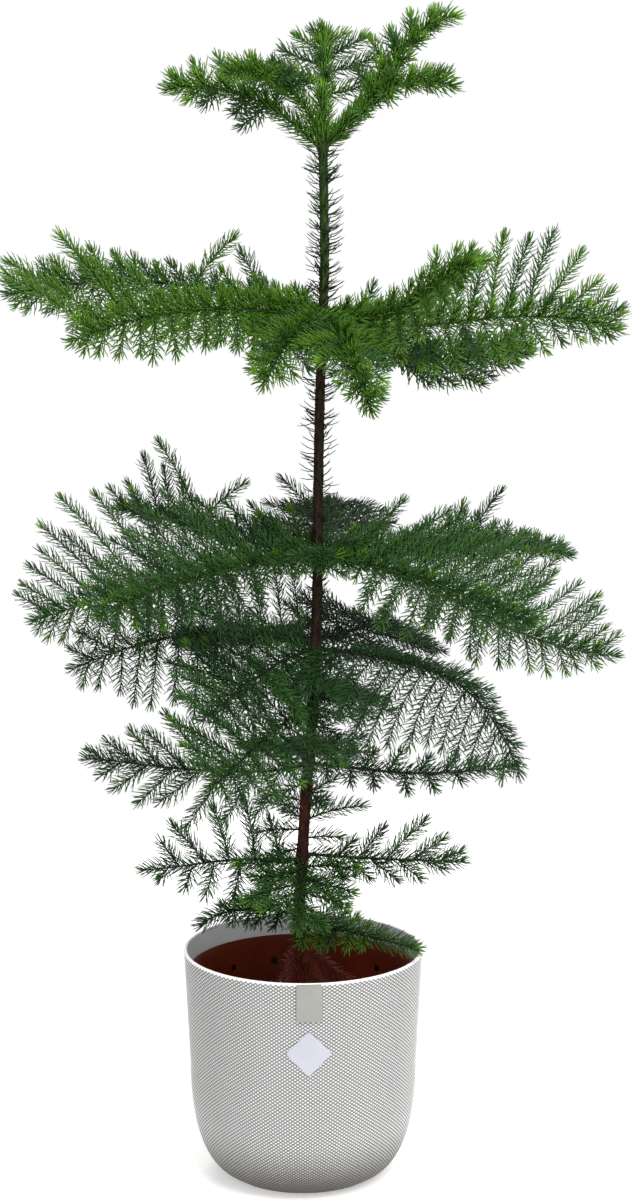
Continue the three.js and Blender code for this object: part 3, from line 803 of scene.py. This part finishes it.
def grow_trunk():
    """Trunk with leaf cushions and cracked bark, from its flat cut to the leader's tip."""
    draw = np.random.default_rng(SEED)
    heights = np.linspace(TRUNK_FOOT, TRUNK_TOP, TRUNK_ROWS)
    centres = np.array([trunk_centre(h) for h in heights])
    kernel = np.hanning(TRUNK_SMOOTHING)
    padded = np.pad(centres[:, 0], TRUNK_SMOOTHING // 2, mode="edge")
    centres[:, 0] = np.convolve(padded, kernel / kernel.sum(), mode="valid")
    radii = np.array([trunk_radius(h) for h in heights])
    angles = np.arange(TRUNK_SIDES) * 2 * math.pi / TRUNK_SIDES
    turn = angles[None] * CUSHIONS_ROUND
    climb = heights[:, None] / MM * CUSHION_CLIMB
    wave = np.cos(turn + climb) * np.cos(turn - climb)
    rough = draw.standard_normal((TRUNK_ROWS, TRUNK_SIDES))
    rough = (rough + np.roll(rough, 1, axis=0) + np.roll(rough, 1, axis=1)) / 3
    relief = CUSHION_HEIGHT * wave + BARK_ROUGHNESS * rough
    for _, height, _ in WHORLS:
        near = np.exp(-((heights / MM - height) / COLLAR_REACH) ** 2)
        relief = relief + (COLLAR_HEIGHT * near)[:, None]
    reach = radii[:, None] + relief * np.minimum(1, radii / (3 * MM))[:, None]
    ring = np.stack([np.cos(angles), np.sin(angles), np.zeros(TRUNK_SIDES)], axis=1)
    points = (centres[:, None] + ring[None] * reach[..., None]).reshape(-1, 3)
    heap = Heap()
    heap.add(points, wrap_faces(TRUNK_ROWS, TRUNK_SIDES))
    heap.piece("trunk_bark", [FINISH["trunk"]], "bark", ["trunk"])


TRUNK_NEEDLE_WIDTH = 1.2 * MM
TRUNK_LEAVES = [
    # from, to, needles per metre, needle length, tint
    (760, 820, 2400, 13.0, "deep"),
    (700, 760, 2200, 13.0, "dark"),
    (600, 690, 1400, 12.5, "dark"),
    (512, 600, 1150, 12.0, "dark"),
    (440, 505, 1200, 8.5, "dark"),
    (342, 435, 800, 7.0, "dark"),
    (200, 335, 600, 6.0, "dry"),
    (140, 200, 700, 7.0, "dry"),
]


def leaf_trunk():
    """Long, sparse needles that curve up off the trunk, and the leader's crowded ones."""
    draw = np.random.default_rng(SEED + 1)
    heap = Heap()
    for low, high, dense, long, tint in TRUNK_LEAVES:
        count = int((high - low) * MM * dense)
        heights = np.sort(draw.uniform(low, high, count)) * MM
        turn = draw.uniform(0, 2 * math.pi, count)
        out = np.stack([np.cos(turn), np.sin(turn), np.zeros(count)], axis=1)
        centre = np.array([trunk_centre(h) for h in heights])
        radius = np.array([trunk_radius(h) for h in heights])
        lift = np.radians(draw.normal(8, 12, count))
        aims = unit(out * np.cos(lift)[:, None] + UP * np.sin(lift)[:, None])
        size = long * MM * (1 + 0.14 * draw.standard_normal(count))
        root = centre + out * radius[:, None] * 0.9
        width = np.full(count, TRUNK_NEEDLE_WIDTH)
        body, faces = needles(root, aims, np.tile(UP, (count, 1)), size, width)
        look = np.full(len(faces), NEEDLE_ORDER.index(tint))
        heap.add(body, faces, look)
    leader = np.array([trunk_centre(h) for h in np.linspace(TRUNK_NECK, TRUNK_TOP, 12)])
    leaf_line(heap, leader, 1.5 * MM, STYLES["top"], 2200, (1, 0), draw)
    heap.piece("trunk_needles", NEEDLES, "leaf_mid")


SMALL_TWIGS = [
    # height on the trunk, azimuth, length, climb: thin leafy twigs between the tiers
    (292, 8, 48, 22), (300, 172, 36, 18), (284, 178, 38, 6), (310, 18, 28, 40), (307, 198, 30, 24),
    (277, 12, 30, 8), (300, 60, 36, 12), (292, 120, 34, 10), (318, 300, 26, -10), (322, 230, 28, 5),
    (270, 186, 34, -12), (238, 20, 46, 14), (240, 155, 44, 10), (232, 200, 42, -6), (228, 262, 34, -18),
    (236, 340, 40, 4), (226, 310, 34, -20),
]
DRY_TWIGS = [
    # height, azimuth, length, climb: dead twigs at the foot of the trunk
    (196, 250, 36, -40), (188, 300, 34, -52), (182, 215, 34, -48), (176, 275, 28, -62), (190, 20, 44, -32),
    (172, 338, 46, -28), (168, 190, 28, -44), (184, 120, 30, -36), (178, 60, 34, -40), (200, 285, 26, -30),
    (186, 352, 66, -26), (193, 330, 40, -56), (190, 235, 30, -66), (180, 320, 30, -64), (198, 262, 30, -70),
    (174, 245, 26, -50), (184, 280, 30, -60), (196, 310, 32, -46), (188, 200, 24, -60), (180, 0, 40, -44),
]


def small_growth():
    """Thin green twigs between the tiers and dead ones above the soil."""
    draw = np.random.default_rng(SEED + 2)
    green, leaves, dead, dead_leaves = Heap(), Heap(), Heap(), Heap()
    sparse = SimpleNamespace(needle=11.5 * MM, width=1.0 * MM, dense=1750)
    crisp = SimpleNamespace(needle=8.5 * MM, width=0.75 * MM, dense=1700)
    for specs, wood, foliage, style, greens in (
        (SMALL_TWIGS, green, leaves, sparse, (3, 2)),
        (DRY_TWIGS, dead, dead_leaves, crisp, (5, 5)),
    ):
        for height, azimuth, length, climb in specs:
            limb = bough("", azimuth, length, [climb, climb - 8, climb - 22], [0, 0], [0, 0])
            line = bough_course(limb, height * MM)[::6]
            wood.add(*tube(line, np.linspace(*SMALL_TWIG_RADII, len(line)) * MM, 6))
            leaf_line(foliage, line, 0.5 * MM, style, style.dense, greens, draw, bare=5 * MM)
    green.piece("small_twigs", [FINISH["stem_dark"]], "bark")
    leaves.piece("small_twig_needles", NEEDLES, "leaf_deep")
    dead.piece("dry_twigs", [FINISH["dry"]], "bark")
    dead_leaves.piece("dry_needles", NEEDLES, "bark")


# ---------- pot, tab, sticker, grower's pot, soil ----------

def wall_radius(height):
    """Outer radius of the straight part of the cover pot."""
    share = (height - POT_CORNER_TOP) / (POT_TOP - POT_CORNER_TOP)
    return POT_CORNER_RADIUS + (POT_RIM_RADIUS - POT_CORNER_RADIUS) * share


def wall_inside(height):
    """Radius just outside the pot's inner face at a height, to tell its faces apart."""
    inner = corner_curve(POT_WALL, 40)
    if height > POT_CORNER_TOP:
        return wall_radius(height) - POT_WALL * 0.8
    return float(np.interp(height, inner[:, 1], inner[:, 0])) + POT_WALL * 0.2


def corner_curve(inset, count):
    """The wide round corner from the foot up to the straight wall, moved inward by the inset."""
    share = np.linspace(0, 1, count)[:, None]
    start = np.array([POT_FOOT_RADIUS - inset, inset])
    pull = np.array([POT_CORNER_RADIUS - inset, inset])
    end = np.array([POT_CORNER_RADIUS - inset, POT_CORNER_TOP])
    return (1 - share) ** 2 * start + 2 * share * (1 - share) * pull + share ** 2 * end


def outer_rows():
    """Profile points of the outer wall, half a knurl apart, from the foot's edge to the rim band."""
    line = np.vstack([corner_curve(0.0, 400), [[POT_RIM_RADIUS, POT_TOP]]])
    marks = marks_along(line)
    count = int((marks[-1] - RIM_BAND) / (KNURL_HEIGHT / 2))
    return read_off(line, marks, np.linspace(0, marks[-1] - RIM_BAND, count + 1))


def spun(profile, steps):
    """A full turn of a profile of (radius, height) points about the upright axis."""
    shape = bmesh.new()
    joints = [shape.verts.new((0.0, radius, height)) for radius, height in profile]
    for a, b in zip(joints, joints[1:]):
        shape.edges.new((a, b))
    bmesh.ops.spin(
        shape, geom=shape.verts[:] + shape.edges[:], cent=(0, 0, 0), axis=(0, 0, 1),
        angle=2 * math.pi, steps=steps, use_merge=True,
    )
    bmesh.ops.remove_doubles(shape, verts=shape.verts[:], dist=1e-6)
    bmesh.ops.recalc_face_normals(shape, faces=shape.faces[:])
    return shape


def shaped(name, shape, finish, replaced=(), smooth=True):
    """Turns a bmesh into a piece of the plant."""
    mesh = bpy.data.meshes.new(name)
    shape.to_mesh(mesh)
    shape.free()
    mesh.polygons.foreach_set("use_smooth", np.full(len(mesh.polygons), smooth))
    mesh.materials.append(finish)
    return stand(name, mesh, replaced)


def make_pot():
    rows = outer_rows()
    inner_top = POT_RIM_RADIUS - POT_WALL
    lip = [
        (POT_RIM_RADIUS - 0.02 * MM, POT_TOP - RIM_BAND * 0.8), (POT_RIM_RADIUS + 0.05 * MM, POT_TOP - POT_LIP),
        (POT_RIM_RADIUS - 0.35 * MM, POT_TOP - 0.3 * MM), (POT_RIM_RADIUS - POT_LIP, POT_TOP),
        (inner_top + POT_LIP, POT_TOP), (inner_top + 0.3 * MM, POT_TOP - 0.3 * MM),
        (inner_top, POT_TOP - POT_LIP), (wall_radius(DAYLIGHT_DEPTH) - POT_WALL, DAYLIGHT_DEPTH),
    ]
    inside = corner_curve(POT_WALL, 12)[::-1].tolist()
    profile = [(0.0, 0.0), (POT_FOOT_RADIUS - 4 * MM, 0.0), *rows.tolist(), *lip, *inside, (0.0, POT_WALL)]
    shape = spun(profile, KNURLS_ROUND * 2)
    # marks the knurls' pits; the pot's finish paints shade in them by it
    pit = shape.verts.layers.float.new("pit")
    heights = rows[:, 1]
    step = math.pi / KNURLS_ROUND
    slopes = np.gradient(rows, axis=0)
    for vert in shape.verts:
        x, y, z = vert.co
        reach = math.hypot(x, y)
        row = int(np.abs(heights - z).argmin())
        vert[pit] = 0.0
        if abs(heights[row] - z) > 1e-6 or abs(rows[row, 0] - reach) > 1e-5 or row < 2 or row > len(rows) - 2:
            continue
        column = round(math.atan2(x, y) / step)
        wave = 1.0 if (row + column) % 2 == 0 else -1.0
        along_wall = slopes[row] / np.linalg.norm(slopes[row])
        push = KNURL_DEPTH * wave
        grow = (reach + along_wall[1] * push) / reach
        vert.co = (x * grow, y * grow, max(0, z - along_wall[0] * push))
        vert[pit] = 0.0 if wave > 0 else 1.0
    knurled = [face for face in shape.faces if sum(vert[pit] for vert in face.verts) > 1.5]
    bmesh.ops.triangulate(shape, faces=knurled, quad_method="SHORT_EDGE")
    for face in shape.faces:
        middle = face.calc_center_median()
        if middle.z > POT_WALL * 0.9 and middle.to_2d().length < wall_inside(middle.z):
            # inner faces: plain white above DAYLIGHT_DEPTH, dark painted shade below it
            face.material_index = 1 if middle.z > DAYLIGHT_DEPTH else 2
    wall = shaped("pot_wall", shape, FINISH["pot"], ["cover_pot"], smooth=False)
    for finish in ("pot_inside", "pot_inside_painted_shade"):
        wall.data.materials.append(FINISH[finish])
    return wall


def bent_plate(name, width, height, turn, corner, thick, centre, middle, proud, finish):
    """A plate with round corners, bent onto the pot's wall at the front."""
    shape = bmesh.new()
    signs = ((-1, -1), (1, -1), (1, 1), (-1, 1))
    shape.faces.new([shape.verts.new((x * width / 2, 0.0, z * height / 2)) for x, z in signs])
    bmesh.ops.bevel(
        shape, geom=shape.verts[:], affect="VERTICES", offset=corner, segments=4, profile=0.5, material=-1
    )
    matrix = Matrix.Rotation(math.radians(turn), 3, "Y")
    bmesh.ops.rotate(shape, verts=shape.verts[:], cent=(0, 0, 0), matrix=matrix)
    span = max(abs(v.co.x) for v in shape.verts)
    for k in range(-6, 7):
        geometry = shape.verts[:] + shape.edges[:] + shape.faces[:]
        place = (span * k / 7, 0, 0)
        bmesh.ops.bisect_plane(shape, geom=geometry, plane_co=place, plane_no=(1, 0, 0), dist=1e-7)
    solid = bmesh.ops.extrude_face_region(shape, geom=shape.faces[:])
    moved = [item for item in solid["geom"] if isinstance(item, bmesh.types.BMVert)]
    bmesh.ops.translate(shape, verts=moved, vec=(0, -thick, 0))
    bmesh.ops.recalc_face_normals(shape, faces=shape.faces[:])
    rims = [e for e in shape.edges if all(v.co.y < -thick * 0.5 for v in e.verts)
            and len(e.link_faces) == 2 and e.calc_face_angle() > 1.0]
    bmesh.ops.bevel(shape, geom=rims, affect="EDGES", offset=thick * 0.4, segments=2, profile=0.5, material=-1)
    for vert in shape.verts:
        height_at = middle + vert.co.z
        radius = wall_radius(height_at) + proud - vert.co.y - thick
        angle = (centre + vert.co.x) / POT_RIM_RADIUS
        vert.co = (radius * math.sin(angle), -radius * math.cos(angle), height_at)
    return shaped(name, shape, finish, smooth=False)


def make_labels():
    """The bare tab that hangs from the rim and a blank sticker below it."""
    middle = (TAB_TOP + TAB_BOTTOM) / 2
    bent_plate("pot_tab", TAB_WIDTH, TAB_TOP - TAB_BOTTOM, 0, 1.4 * MM, TAB_THICK, TAB_CENTRE, middle,
               TAB_THICK, FINISH["tab"])
    side = STICKER_REACH * math.sqrt(2) * 1.06
    bent_plate("pot_sticker", side, side, 45, 2.4 * MM, STICKER_THICK, TAB_CENTRE, STICKER_HEIGHT,
               KNURL_DEPTH + STICKER_THICK, FINISH["sticker"])


def grower_radius(height, inset):
    """Radius of the grower's pot at a height, moved inward by the inset."""
    slope = (GROWER_RIM_RADIUS - GROWER_FOOT_RADIUS) / (GROWER_TOP - GROWER_BASE)
    return GROWER_FOOT_RADIUS + (height - GROWER_BASE) * slope - inset


def make_grower_pot():
    """Thin terracotta coloured pot with a turned-out rim and drain holes under it."""
    def radius(height):
        return grower_radius(height, 2 * MM)

    upper = np.linspace(132 * MM, GROWER_TOP - 6 * MM, 30)
    rows = [(radius(h), h) for h in upper]
    top = radius(GROWER_TOP)
    rim = [
        (top - 0.4 * MM, GROWER_TOP - 4 * MM), (top + 0.5 * MM, GROWER_TOP - 1 * MM),
        (top + 1.4 * MM, GROWER_TOP), (GROWER_LIP_RADIUS - 0.5 * MM, GROWER_TOP - 0.2 * MM),
        (GROWER_LIP_RADIUS, GROWER_TOP - 1 * MM), (GROWER_LIP_RADIUS, GROWER_TOP - 5 * MM),
    ]
    profile = [(0.0, GROWER_BASE + 1 * MM), (radius(GROWER_BASE), GROWER_BASE + 1 * MM), *rows, *rim]
    shape = spun(profile, GROWER_STEPS)
    cut = []
    for angle in HOLE_ANGLES:
        turn = math.radians(angle)
        for face in shape.faces:
            middle = face.calc_center_median()
            aside = abs(math.atan2(middle.y, middle.x) - turn)
            aside = min(aside, 2 * math.pi - aside) * radius(HOLE_HEIGHT)
            if middle.to_2d().length > 60 * MM and math.hypot(aside, middle.z - HOLE_HEIGHT) < HOLE_RADIUS:
                cut.append(face)
    bmesh.ops.delete(shape, geom=list(set(cut)), context="FACES")
    bmesh.ops.solidify(shape, geom=shape.faces[:], thickness=GROWER_WALL)
    bmesh.ops.recalc_face_normals(shape, faces=shape.faces[:])
    return shaped("grower_pot_shell", shape, FINISH["grower"], ["grower_pot"])


SOIL_WAVES = ((91, 57, 0.3), (-63, 118, 1.1), (150, -171, 2.2), (260, 233, 0.7), (-410, 330, 1.9))
CRUMBS = (
    # piece, finish, count, smallest and largest size in millimetres
    ("soil_grit", "grit", 420, 0.5, 1.4),
    ("bark_crumbs", "chips", 700, 0.7, 2.4),
)


def soil_height(x, y):
    """Crumbly surface that sags towards the rim."""
    reach = math.hypot(x, y)
    sag = SOIL_SAG * min(1, max(0, (reach - 22 * MM) / (58 * MM)))
    waves = 0.0
    for k, (a, b, c) in enumerate(SOIL_WAVES):
        waves += math.sin(a * x * 2 + b * y * 2 + c * 3) / (1 + 0.6 * k)
    return SOIL_TOP - sag + SOIL_LUMP * 0.33 * waves


def make_soil():
    edge = grower_radius(SOIL_TOP, SOIL_INSET)
    foot = grower_radius(GROWER_BASE, SOIL_INSET)
    rings = [(edge * k / 34, SOIL_TOP) for k in range(35)]
    base = GROWER_BASE + 3 * MM
    profile = rings + [(edge - 0.3 * MM, SOIL_TOP - 6 * MM), (foot, base), (0.0, base)]
    shape = spun(profile, SOIL_STEPS)
    draw = np.random.default_rng(SEED + 3)
    for vert in shape.verts:
        if vert.co.z > SOIL_TOP - 1e-6:
            x, y = vert.co.x, vert.co.y
            crumb = 0.45 * MM * draw.standard_normal() if math.hypot(x, y) < edge - 1 * MM else 0
            vert.co.z = soil_height(x, y) + crumb
    shaped("soil_bed", shape, FINISH["soil"], ["root_ball"])
    grains = bmesh.new()
    bmesh.ops.create_icosphere(grains, subdivisions=1, radius=1.0)
    ball = np.array([v.co[:] for v in grains.verts])
    sides = np.array([[v.index for v in f.verts] for f in grains.faces])
    grains.free()
    for name, finish, count, low, high in CRUMBS:
        heap = Heap()
        for _ in range(count):
            angle, reach = draw.uniform(0, 2 * math.pi), edge * 0.97 * math.sqrt(draw.uniform(0.02, 1))
            x, y = reach * math.cos(angle), reach * math.sin(angle)
            size = draw.uniform(low, high) * MM * draw.uniform(0.6, 1.2, 3)
            lumpy = ball * size * (1 + 0.18 * draw.standard_normal((len(ball), 1)))
            heap.add(lumpy + np.array([x, y, soil_height(x, y) + size[2] * 0.4]), sides)
        heap.piece(name, [FINISH[finish]], "soil", smooth=False)


# ---------- stage ----------

def make_stage():
    """Pale floor, soft light from all round and the camera."""
    shape = bmesh.new()
    bmesh.ops.create_grid(shape, x_segments=2, y_segments=2, size=FLOOR_HALF)
    mesh = bpy.data.meshes.new("floor")
    shape.to_mesh(mesh)
    shape.free()
    floor = shown("floor", mesh)
    glow = {"Emission Color": (1.0, 1.0, 1.0, 1.0), "Emission Strength": FLOOR_GLOW}
    finish = speckled("floor_white", (250, 250, 249), (247, 247, 246), 3, 40, 0.9, 0.02, 1, **glow)
    mesh.materials.append(finish)

    world = bpy.data.worlds.new("studio")
    world.use_nodes = True
    nodes, links = world.node_tree.nodes, world.node_tree.links
    plain = nodes["Background"]
    plain.inputs["Color"].default_value = (1.0, 1.0, 1.0, 1.0)
    ray = nodes.new("ShaderNodeLightPath")
    level = new_node(nodes, "MapRange", {"To Min": WORLD_LIGHT, "To Max": 1.0})
    wire(links, (ray, "Is Camera Ray", level, "Value"), (level, "Result", plain, "Strength"))
    bpy.context.scene.world = world
    bpy.context.scene.view_settings.view_transform = "Standard"

    for name, place, target, size, power in LAMPS:
        data = bpy.data.lights.new(name, "AREA")
        data.size = size
        data.energy = power
        lamp = shown(name, data)
        lamp.location = place
        lamp.rotation_euler = (Vector(target) - Vector(place)).to_track_quat("-Z", "Y").to_euler()

    eye = bpy.data.cameras.new("camera")
    eye.sensor_fit = "VERTICAL"
    eye.sensor_height = SENSOR_HEIGHT
    eye.lens = FOCAL_PIXELS / IMAGE_HEIGHT * SENSOR_HEIGHT
    camera = shown("camera", eye)
    camera.location = CAMERA_PLACE
    camera.rotation_euler = (math.radians(90 - CAMERA_PITCH), 0, 0)
    bpy.context.scene.camera = camera


make_stage()
make_pot()
make_labels()
make_grower_pot()
make_soil()
grow_trunk()
leaf_trunk()
for whorl_name, whorl_height, whorl_boughs in WHORLS:
    grow_whorl(whorl_name, whorl_height, whorl_boughs)
small_growth()
